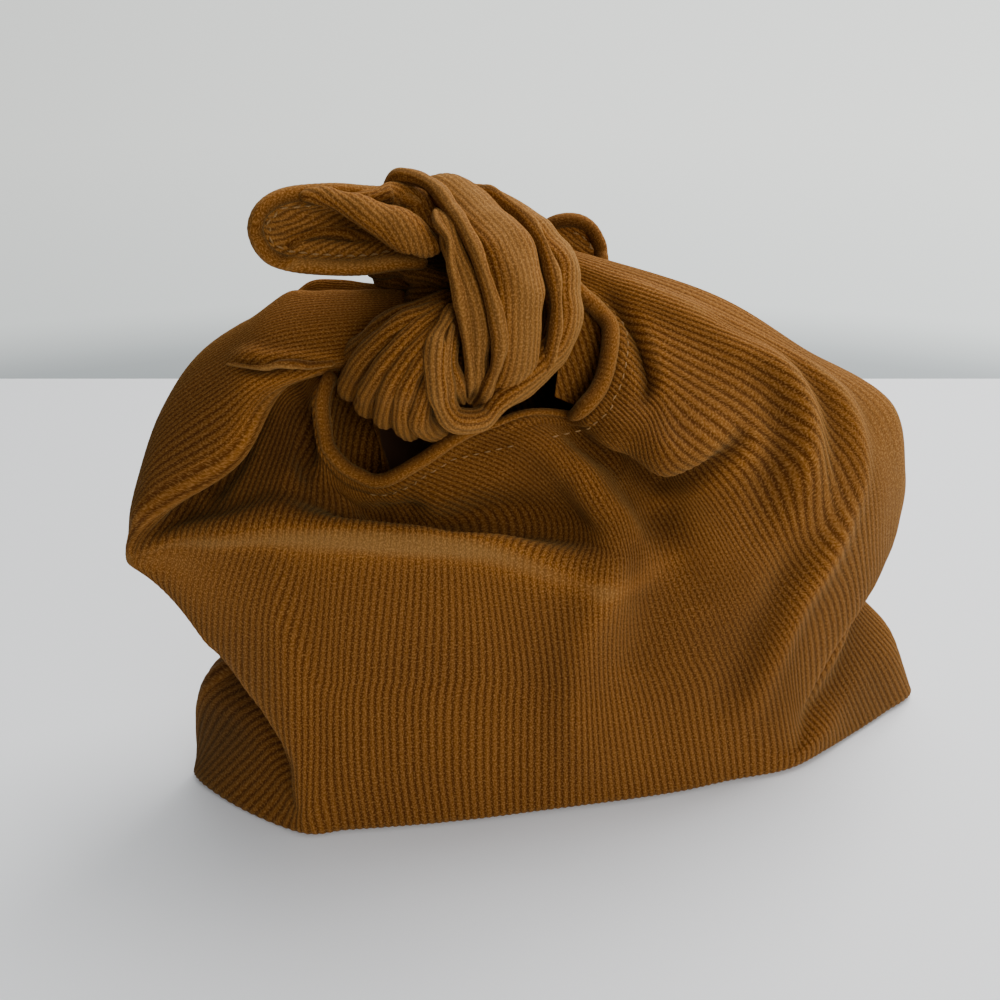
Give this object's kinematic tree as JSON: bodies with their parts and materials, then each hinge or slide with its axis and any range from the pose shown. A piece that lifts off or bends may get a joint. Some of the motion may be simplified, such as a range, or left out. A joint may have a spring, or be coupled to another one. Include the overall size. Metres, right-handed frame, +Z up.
{
  "type": "knotted corduroy cosmetic bag",
  "caption": "Soft corduroy pouch with a plain lining, a wide base and two horns tied in one knot over a curved, hemmed mouth.",
  "frame": {"origin": "middle of the whole box, on the surface that the bag stands on", "axes": "+X to the right along the front of the base, +Y away from the front, +Z up"},
  "size_m": [0.2364, 0.0746, 0.1738],
  "materials": {
    "corduroy": "ribbed pile",
    "lining_cloth": "plain weave"
  },
  "bodies": {
    "root": {"bag_cloth": "corduroy", "knot": "corduroy", "left_end": "corduroy", "right_end": "corduroy", "lining": "lining_cloth"}
  },
  "joints": []
}
